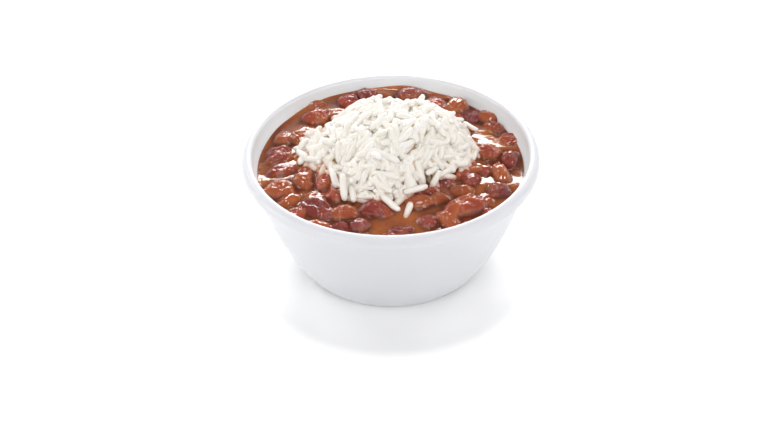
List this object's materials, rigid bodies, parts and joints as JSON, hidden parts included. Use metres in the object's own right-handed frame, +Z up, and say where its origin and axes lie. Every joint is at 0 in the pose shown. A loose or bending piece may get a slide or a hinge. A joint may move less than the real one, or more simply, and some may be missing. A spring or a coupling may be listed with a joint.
{
  "type": "bowl of red beans and rice",
  "caption": "Round bowl of red bean stew with a heap of long white rice seated in it, standing on its flat base.",
  "frame": {"origin": "centre of the bowl's flat base, on the surface it stands on", "axes": "+Z up through the open mouth; +Y towards the back, where the stew stands a little higher; -Y towards the front"},
  "size_m": [0.13, 0.13, 0.0711],
  "materials": {
    "bowl": "smooth satin white, as moulded",
    "stew": null,
    "rice": null
  },
  "bodies": {
    "root": {"bowl": "bowl", "bean_stew": "stew", "rice_mound": "rice"}
  },
  "joints": []
}
